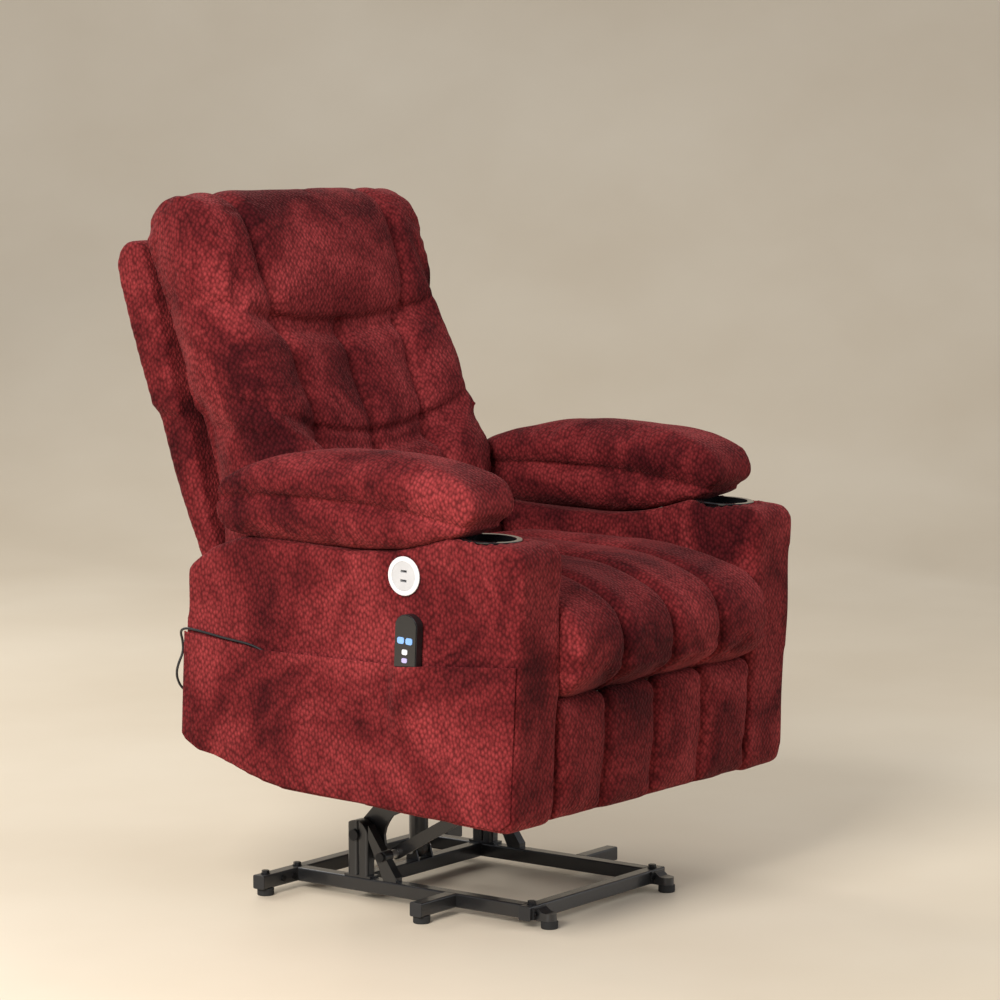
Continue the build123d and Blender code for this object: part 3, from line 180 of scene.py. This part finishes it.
cable = bpy.data.objects.new("handset_cable_line", cable_curve)
scene.collection.objects.link(cable)
black_pvc = plain("black_pvc", (0.012, 0.012, 0.013), 0.45, grain=0.0002)
cable_curve.materials.append(black_pvc)
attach(cable, "chair_frame")
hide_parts("handset_cable")

# ---- Seat cushion -------------------------------------------------------------------------
# Foam block under a loose-filled top, sewn into four channels that run from the back over the
# rolled front. The cover is burgundy chenille: a thick looped yarn woven in small braided cells,
# with random darker patches in the pile and painted highlights where it has been brushed.
CHANNELS = (-0.146, 0.0, 0.146)


def coordinates(mesh):
    values = np.empty(len(mesh.vertices) * 3)
    mesh.vertices.foreach_get("co", values)
    return values.reshape(-1, 3)


def in_chair(points):
    """Points of the room in the chair's own frame."""
    back = np.array(CHAIR.inverted())
    return points @ back[:3, :3].T + back[:3, 3]


def normals_in_chair(mesh):
    values = np.empty(len(mesh.vertices) * 3)
    mesh.vertex_normals.foreach_get("vector", values)
    return values.reshape(-1, 3) @ np.array(CHAIR.inverted())[:3, :3].T


def put(mesh, points):
    mesh.vertices.foreach_set("co", points.reshape(-1))
    mesh.update()


def settle(piece):
    """Gives the piece the shape its modifiers make, and removes them."""
    bpy.context.view_layer.update()
    shape = bpy.data.meshes.new_from_object(piece.evaluated_get(bpy.context.evaluated_depsgraph_get()))
    old = piece.data
    piece.modifiers.clear()
    piece.data = shape
    bpy.data.meshes.remove(old)


def skin_of(node, name, grid, eased):
    """New piece that starts as the node's solid, with an even net of faces and soft edges."""
    piece = bpy.data.objects.new(name, nodes[node].data.copy())
    scene.collection.objects.link(piece)
    bm = bmesh.new()
    bm.from_mesh(piece.data)
    bmesh.ops.remove_doubles(bm, verts=bm.verts, dist=0.00002)
    bm.to_mesh(piece.data)
    bm.free()
    net = piece.modifiers.new("net", "REMESH")
    net.mode = "VOXEL"
    net.voxel_size = grid
    ease = piece.modifiers.new("ease", "SMOOTH")
    ease.factor = 0.5
    ease.iterations = eased
    settle(piece)
    return piece


def push(piece, amounts):
    """Moves each point along its own normal."""
    values = np.empty(len(piece.data.vertices) * 3)
    piece.data.vertex_normals.foreach_get("vector", values)
    put(piece.data, coordinates(piece.data) + values.reshape(-1, 3) * amounts[:, None])


def ripple(piece, height, size, seed, where=1.0):
    """Low soft wrinkles."""
    offset = Vector((seed * 3.1, seed * 7.7, seed * 1.3))
    waves = [noise.noise(v.co / size + offset) + 0.4 * noise.noise(v.co / size * 2.3 + offset)
             for v in piece.data.vertices]
    push(piece, height * np.array(waves) * where)


def swell(piece, sewn, pressure, cap):
    """Blows the cover up as cloth, held where it is sewn down."""
    before = coordinates(piece.data)
    held = piece.vertex_groups.new(name="sewn")
    held.add([int(i) for i in np.nonzero(sewn)[0]], 1.0, "REPLACE")
    cloth = piece.modifiers.new("cloth", "CLOTH")
    cloth.settings.vertex_group_mass = "sewn"
    cloth.settings.quality = 4
    cloth.settings.mass = 0.3
    cloth.settings.tension_stiffness = 12
    cloth.settings.compression_stiffness = 12
    cloth.settings.bending_stiffness = 0.4
    cloth.settings.use_pressure = True
    cloth.settings.uniform_pressure_force = pressure
    cloth.settings.effector_weights.gravity = 0
    cloth.point_cache.frame_start = 1
    cloth.point_cache.frame_end = 20
    for step in range(1, 21):
        scene.frame_set(step)
    settle(piece)
    scene.frame_set(1)
    move = coordinates(piece.data) - before
    far = np.linalg.norm(move, axis=1)
    put(piece.data, before + move * np.minimum(1, cap / np.maximum(far, 1e-9))[:, None])


def refine(piece):
    finer = piece.modifiers.new("finer", "SUBSURF")
    finer.levels = 1
    finer.render_levels = 1
    settle(piece)


def seam(distance, depth, width):
    """How far a stitched line pulls the cover in, at this distance from it."""
    return -depth * np.exp(-((distance / width) ** 2))


def finish_cover(piece, material, slot, body, *replaced, fill=0.6):
    for face in piece.data.polygons:
        face.use_smooth = True
    piece.data.materials.clear()
    piece.data.materials.append(material)
    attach(piece, body)
    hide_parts(*replaced)


def chenille():
    """Chenille with a braided cell weave whose gaps carry painted shade, random darker pile patches with
    painted highlights, and a faint sheen on the pile.
    """
    material = bpy.data.materials.new("burgundy_chenille")
    material.use_nodes = True
    tree = material.node_tree
    shader = tree.nodes["Principled BSDF"]
    spot = tree.nodes.new("ShaderNodeTexCoord")
    turn = tree.nodes.new("ShaderNodeMapping")
    turn.inputs["Rotation"].default_value = (0.7, 0.6, 0.75)
    turn.inputs["Scale"].default_value = (1.0, 1.0, 0.72)
    tree.links.new(spot.outputs["Object"], turn.inputs["Vector"])
    cells = tree.nodes.new("ShaderNodeTexVoronoi")
    cells.inputs["Scale"].default_value = 175
    cells.inputs["Randomness"].default_value = 0.55
    tree.links.new(turn.outputs["Vector"], cells.inputs["Vector"])
    fuzz = tree.nodes.new("ShaderNodeTexNoise")
    fuzz.inputs["Scale"].default_value = 700
    fuzz.inputs["Detail"].default_value = 3
    tree.links.new(spot.outputs["Object"], fuzz.inputs["Vector"])
    patch = tree.nodes.new("ShaderNodeTexNoise")
    patch.inputs["Scale"].default_value = 5.0
    patch.inputs["Detail"].default_value = 6
    patch.inputs["Roughness"].default_value = 0.62
    patch.inputs["Distortion"].default_value = 0.8
    tree.links.new(spot.outputs["Object"], patch.inputs["Vector"])
    # Pile colour: random darker patches and a middle tone, with painted highlights at the bright end for the
    # brushed pile.
    pile = tree.nodes.new("ShaderNodeValToRGB")
    pile.color_ramp.elements[0].position = 0.36
    pile.color_ramp.elements[0].color = (0.058, 0.005, 0.007, 1)
    pile.color_ramp.elements[1].position = 0.64
    pile.color_ramp.elements[1].color = (0.275, 0.035, 0.037, 1)
    middle = pile.color_ramp.elements.new(0.48)
    middle.color = (0.150, 0.015, 0.017, 1)
    tree.links.new(patch.outputs["Fac"], pile.inputs["Fac"])
    # Painted shade in the weave: cell edges, sunk into grooves by the bump below, are darkened to 0.4, and
    # cell tops are lightened to 1.2 as a painted highlight.
    gap = tree.nodes.new("ShaderNodeMapRange")
    gap.inputs["From Min"].default_value = 0.15
    gap.inputs["From Max"].default_value = 0.75
    gap.inputs["To Min"].default_value = 1.2
    gap.inputs["To Max"].default_value = 0.40
    tree.links.new(cells.outputs["Distance"], gap.inputs["Value"])
    shade = tree.nodes.new("ShaderNodeMix")
    shade.data_type = "RGBA"
    shade.blend_type = "MULTIPLY"
    shade.inputs["Factor"].default_value = 1.0
    tree.links.new(pile.outputs["Color"], shade.inputs["A"])
    tree.links.new(gap.outputs["Result"], shade.inputs["B"])
    tree.links.new(shade.outputs["Result"], shader.inputs["Base Color"])
    height = tree.nodes.new("ShaderNodeMath")
    height.operation = "MULTIPLY_ADD"
    height.inputs[1].default_value = -1.0
    tree.links.new(cells.outputs["Distance"], height.inputs[0])
    fine = tree.nodes.new("ShaderNodeMath")
    fine.operation = "MULTIPLY"
    fine.inputs[1].default_value = 0.35
    tree.links.new(fuzz.outputs["Fac"], fine.inputs[0])
    tree.links.new(fine.outputs["Value"], height.inputs[2])
    bump = tree.nodes.new("ShaderNodeBump")
    bump.inputs["Strength"].default_value = 0.9
    bump.inputs["Distance"].default_value = 0.0025
    tree.links.new(height.outputs["Value"], bump.inputs["Height"])
    tree.links.new(bump.outputs["Normal"], shader.inputs["Normal"])
    shader.inputs["Roughness"].default_value = 0.85
    shader.inputs["Specular IOR Level"].default_value = 0.08
    shader.inputs["Sheen Weight"].default_value = 0.12
    shader.inputs["Sheen Roughness"].default_value = 0.35
    shader.inputs["Sheen Tint"].default_value = (1.0, 0.30, 0.30, 1)
    return material


cover = chenille()


def channel_lines(points, normals, lines=CHANNELS):
    """Distance to the nearest channel seam, on the top and the front only."""
    near = np.min([np.abs(points[:, 0] - x) for x in lines], axis=0)
    shown = (normals[:, 2] > 0.1) | (normals[:, 1] < -0.35)
    return np.where(shown, near, 1.0)


seat = skin_of("seat_cushion", "seat_cover", 0.008, 8)
points = in_chair(coordinates(seat.data))
distance = channel_lines(points, normals_in_chair(seat.data))
trim = np.where(points[:, 2] < 0.26, 0.001, 0.006)
push(seat, seam(distance, 0.014, 0.012) - trim)
swell(seat, distance < 0.0045, 4, 0.024)
refine(seat)
distance = channel_lines(in_chair(coordinates(seat.data)), normals_in_chair(seat.data))
push(seat, seam(distance, 0.006, 0.006))
ripple(seat, 0.003, 0.11, 1)
finish_cover(seat, cover, "burgundy_chenille", "chair_frame", "seat_cushion", fill=0.7)

# ---- Footrest panel -----------------------------------------------------------------------
# Padded board sewn into the same four channels as the seat. It hangs under the seat's front.
panel = skin_of("footrest_panel", "footrest_cover", 0.007, 6)
points = in_chair(coordinates(panel.data))
distance = channel_lines(points, normals_in_chair(panel.data))
trim = np.where(points[:, 2] > 0.18, 0.0, 0.003)
push(panel, seam(distance, 0.010, 0.010) - trim)
swell(panel, (distance < 0.004) | (points[:, 1] > -0.422), 3, 0.012)
refine(panel)
distance = channel_lines(in_chair(coordinates(panel.data)), normals_in_chair(panel.data))
push(panel, seam(distance, 0.005, 0.005))
ripple(panel, 0.002, 0.09, 2)
finish_cover(panel, cover, "burgundy_chenille", "footrest", "footrest_panel", fill=0.5)

# ---- Back cushion -------------------------------------------------------------------------
# Deep cushion in three tiers: a head pillow, a middle and a lumbar tier, with a broad wing at each
# side. Curved seams part the tiers, and upright seams part each tier into panels.
HEAD_SEAM = [(-0.30, 0.812), (-0.22, 0.786), (-0.10, 0.770), (0.0, 0.766), (0.10, 0.770), (0.22, 0.786),
             (0.30, 0.812)]
LOW_SEAM = [(-0.30, 0.640), (-0.17, 0.594), (-0.08, 0.580), (0.0, 0.574), (0.08, 0.580), (0.17, 0.594),
            (0.30, 0.640)]


def to_line(points, line):
    """Distance across the front of the back from a line given in X and Z."""
    best = np.full(len(points), 1.0)
    for (x0, z0), (x1, z1) in zip(line, line[1:]):
        along = np.array([x1 - x0, z1 - z0])
        offset = points[:, [0, 2]] - np.array([x0, z0])
        share = np.clip(offset @ along / (along @ along), 0, 1)
        gap = np.linalg.norm(offset - share[:, None] * along, axis=1)
        best = np.minimum(best, gap)
    return best


def back_seams(points, normals):
    """Distances to the tier seams and to the upright seams of the back cushion."""
    front = normals[:, 1] < 0.15
    tiers = np.minimum(to_line(points, HEAD_SEAM), to_line(points, LOW_SEAM))
    uprights = np.full(len(points), 1.0)
    for side in (-1, 1):
        head = [(side * 0.178, 0.790), (side * 0.200, 0.870), (side * 0.200, 1.02)]
        middle = [(side * 0.165, 0.774), (side * 0.150, 0.592), (side * 0.150, 0.30)]
        uprights = np.minimum(uprights, np.minimum(to_line(points, head), to_line(points, middle)))
    uprights = np.minimum(uprights, to_line(points, [(0, 0.766), (0, 0.30)]))
    over = (points[:, 2] > 0.96) & (normals[:, 2] > 0.1)
    return np.where(front, tiers, 1.0), np.where(front | over, uprights, 1.0)


def over_wings(x, share):
    """How deep the tier seams stay: whole in the middle, and less by this share out on the wings."""
    return 1 - share * np.clip((np.abs(x) - 0.17) / 0.09, 0, 1)


back = skin_of("back_cushion", "back_cover", 0.0088, 10)
points = in_chair(coordinates(back.data))
normals = normals_in_chair(back.data)
tiers, uprights = back_seams(points, normals)
front = np.clip(-normals[:, 1] * 1.5, 0, 1)
hollow = np.clip(1 - (np.abs(points[:, 0]) / 0.21) ** 4, 0, 1) * np.clip((0.80 - points[:, 2]) / 0.10, 0, 1)
tier_dip = seam(tiers, 0.026, 0.026) * over_wings(points[:, 0], 0.72)
push(back, tier_dip + seam(uprights, 0.014, 0.014) - 0.020 * hollow * front - 0.005)
swell(back, ((tiers < 0.005) | (uprights < 0.0048)) & (np.abs(points[:, 0]) < 0.27), 4, 0.022)
refine(back)
tiers, uprights = back_seams(in_chair(coordinates(back.data)), normals_in_chair(back.data))
tier_dip = seam(tiers, 0.007, 0.008) * over_wings(coordinates(back.data)[:, 0], 0.6)
push(back, tier_dip + seam(uprights, 0.005, 0.006))
ripple(back, 0.003, 0.14, 3)
finish_cover(back, cover, "burgundy_chenille", "back", "back_cushion", fill=0.7)

# ---- Rear panel of the back ---------------------------------------------------------------
# Board and foam panel behind the cushion, covered in the same cloth, with a rounded top.
rear = skin_of("back_shell", "rear_panel_cover", 0.008, 6)
ripple(rear, 0.002, 0.15, 4)
refine(rear)
finish_cover(rear, cover, "burgundy_chenille", "back", "back_shell", fill=0.4)

# ---- Arms ---------------------------------------------------------------------------------
# Board boxes wrapped in foam and cloth. A cup holder is let into the top in front, and the cloth
# is drawn in round it. The right arm is bored for the charging socket.
CUP_X = 0.350
CUP_Y = -0.346
for side, label in ((1, "left"), (-1, "right")):
    arm = skin_of(f"{label}_arm", f"{label}_arm_cover", 0.0085, 9)
    refine(arm)
    points = in_chair(coordinates(arm.data))
    normals = normals_in_chair(arm.data)
    across = points[:, 0] - side * CUP_X
    along = points[:, 1] - CUP_Y
    round_cup = np.hypot(across, along)
    angle = np.arctan2(along, across)
    top = (points[:, 2] > 0.44) & (normals[:, 2] > 0.2)
    pucker = 0.0016 * np.sin(angle * 22) * np.exp(-((round_cup - 0.060) / 0.010) ** 2)
    push(arm, np.where(top, pucker, 0.0))
    quiet = 1 - np.exp(-((round_cup / 0.09) ** 4))
    ripple(arm, 0.0035, 0.16, 5 + side, quiet)
    finish_cover(arm, cover, "burgundy_chenille", "chair_frame", f"{label}_arm", fill=0.4)

# ---- Arm pads -----------------------------------------------------------------------------
# Fat fibre-filled pillows on the arms. Each has a top and a bottom sewn together along a seam
# half-way up its side, and bulges over the outer face of the arm.
def to_pad_seam(mesh):
    """Distance to the seam round the side of a pad, which is lower at both ends than in the middle."""
    points = in_chair(coordinates(mesh))
    waist = 0.512 - 0.264 * (points[:, 1] + 0.10) ** 2
    flank = np.abs(normals_in_chair(mesh)[:, 2]) < 0.75
    return np.where(flank, np.abs(points[:, 2] - waist), 1.0)


for side, label in ((1, "left"), (-1, "right")):
    pad = skin_of(f"{label}_arm_pad", f"{label}_pad_cover", 0.006, 22)
    distance = to_pad_seam(pad.data)
    push(pad, seam(distance, 0.006, 0.012))
    swell(pad, distance < 0.0035, 4, 0.016)
    refine(pad)
    push(pad, seam(to_pad_seam(pad.data), 0.003, 0.004))
    ripple(pad, 0.0025, 0.08, 9 + side)
    finish_cover(pad, cover, "burgundy_chenille", "chair_frame", f"{label}_arm_pad", fill=0.8)

# ---- Side pocket --------------------------------------------------------------------------
# One layer of the cover cloth sewn to the right arm's outer face along its front, back and bottom
# edges. Its hemmed mouth stands open a little, and it bulges where the handset stands in it.
MOUTH = [(-0.452, 0.283), (-0.222, 0.255), (0.081, 0.239), (0.266, 0.247)]
POCKET_FRONT = -0.452
POCKET_LENGTH = 0.718
ARM_FACE = -0.4105
HANDSET_Y = -0.236
columns = 150
rows = 60


def mouth_height(y):
    return float(np.interp(y, [m[0] for m in MOUTH], [m[1] for m in MOUTH]))


def arm_bottom(y):
    """Height of the arm's lower edge."""
    return float(np.interp(y, [-0.458, -0.432, 0.041, 0.109, 0.150, 0.190, 0.225, 0.256, 0.268],
                           [0.026, 0.004, 0.004, 0.017, 0.026, 0.035, 0.038, 0.052, 0.064]))


def pocket_stand(y, z):
    """How far the cloth stands off the arm."""
    side_edge = min(1.0, (y - POCKET_FRONT) / 0.03, (POCKET_FRONT + POCKET_LENGTH - y) / 0.03)
    low_edge = min(1.0, max(0.0, (z - arm_bottom(y)) / 0.05))
    open_part = 0.0068 * max(0.0, side_edge) ** 0.5 * low_edge**0.5
    handset = 0.0150 * math.exp(-(((y - HANDSET_Y) / 0.033) ** 4)) * min(1.0, max(0.0, (z - 0.12) / 0.07))
    crease = 0.0012 * noise.noise(Vector((y * 14, z * 9, 4.0))) * low_edge * max(0.0, side_edge)
    return 0.0008 + open_part + handset + crease


bm = bmesh.new()
grid = []
for i in range(columns + 1):
    y = POCKET_FRONT + POCKET_LENGTH * i / columns
    top = mouth_height(y)
    bottom = arm_bottom(y) + 0.004
    column = []
    for j in range(rows + 1):
        z = bottom + (top - bottom) * j / rows
        spot = Vector((ARM_FACE - pocket_stand(y, z), y, z))
        column.append(bm.verts.new(CHAIR @ spot))
    grid.append(column)
for i in range(columns):
    for j in range(rows):
        bm.faces.new((grid[i][j], grid[i][j + 1], grid[i + 1][j + 1], grid[i + 1][j]))
pocket_mesh = bpy.data.meshes.new("side_pocket_cloth")
bmesh.ops.recalc_face_normals(bm, faces=bm.faces)
bm.to_mesh(pocket_mesh)
bm.free()
pocket = bpy.data.objects.new("side_pocket_cloth", pocket_mesh)
scene.collection.objects.link(pocket)
thick = pocket.modifiers.new("cloth_thickness", "SOLIDIFY")
thick.thickness = 0.0024
thick.offset = 0
hem = pocket.modifiers.new("soft_edge", "BEVEL")
hem.width = 0.0009
hem.segments = 2
settle(pocket)
for face in pocket.data.polygons:
    face.use_smooth = True
pocket.data.materials.append(cover)
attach(pocket, "chair_frame")
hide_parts("side_pocket")

# ---- Base, lift linkage and mechanism -------------------------------------------------------
# Mild steel tube and plate, welded and coated in gloss black powder, with zinc-plated pins and
# bolts, moulded plastic plugs in the open tube ends and rubber feet.
black_coat = plain("black_powder_coat", (0.014, 0.014, 0.015), 0.30, grain=0.0003, coat=0.35)
zinc = plain("zinc_plate", (0.55, 0.54, 0.52), 0.38, metallic=1.0, grain=0.0001)
black_steel = plain("blackened_bolts", (0.03, 0.03, 0.032), 0.35, metallic=0.9)
plug = plain("plug_plastic", (0.016, 0.016, 0.017), 0.5, grain=0.0002)
rubber = plain("foot_rubber", (0.012, 0.012, 0.012), 0.8, grain=0.0003)
painted = ["rear_crossbar", "middle_crossbar", "front_crossbar", "side_rails", "outrigger_stubs",
           "front_foot_brackets", "uprights", "upright_gussets", "drive_clevis", "lift_arms", "arm_tie_tube",
           "follower_links", "carriage_plates", "carriage_tubes", "column_outer_tube", "seat_rails",
           "seat_box_brackets", "drive_crossmember", "footrest_rear_links", "footrest_front_links",
           "panel_brackets", "back_arms"]
plated = ["pivot_washers", "carriage_pivot_bolts", "column_pin", "column_first_stage",
          "column_second_stage", "column_spindle", "seat_springs"]
moulded = ["tube_end_caps", "drive_motor", "control_box", "recline_motor", "power_inlet"]
bolted = ["frame_bolts", "base_pivot_bolts"]
for names, material in ((painted, black_coat), (plated, zinc), (bolted, black_steel), (moulded, plug),
                        (["rubber_feet", "cable_gland"], rubber)):
    for name in names:
        nodes[name].data.materials.clear()
        nodes[name].data.materials.append(material)

# ---- Gearbox, boards and felt ---------------------------------------------------------------
# Die-cast aluminium gearbox, birch plywood sides and a grey felt pad on the springs, all hidden
# inside the chair except from below.
cast = plain("cast_aluminium", (0.5, 0.5, 0.51), 0.55, metallic=1.0, grain=0.0005)
birch = plain("birch_plywood", (0.55, 0.38, 0.22), 0.6, grain=0.0003)
felt = plain("grey_felt", (0.16, 0.16, 0.16), 0.95, grain=0.0008)
for name, material in (("drive_gearbox", cast), ("seat_side_boards", birch), ("seat_deck", felt)):
    nodes[name].data.materials.clear()
    nodes[name].data.materials.append(material)

# ---- Cup holders, charging socket and handset -------------------------------------------------
# Injection-moulded parts: gloss black cups, a white ring with a grey port insert, and a handset
# with a satin case, a gloss face and lit keys.
gloss_black = plain("gloss_black_moulding", (0.008, 0.008, 0.009), 0.12, coat=0.6)
white = plain("white_moulding", (0.72, 0.72, 0.73), 0.32, grain=0.0001)
grey = plain("grey_moulding", (0.50, 0.50, 0.51), 0.4, grain=0.0001)
satin = plain("handset_case", (0.012, 0.012, 0.013), 0.38, grain=0.0003)
blue_key = plain("blue_key", (0.22, 0.42, 0.80), 0.3)
lavender_key = plain("lavender_key", (0.46, 0.42, 0.72), 0.3)
pale_key = plain("pale_key", (0.75, 0.76, 0.80), 0.3)
for name, material in (("cup_holders", gloss_black), ("socket_bezel", white), ("socket_insert", grey),
                       ("handset_shell", satin), ("handset_face", gloss_black), ("key_recline", blue_key),
                       ("key_raise", blue_key), ("key_massage", pale_key), ("key_heat", lavender_key)):
    nodes[name].data.materials.clear()
    nodes[name].data.materials.append(material)
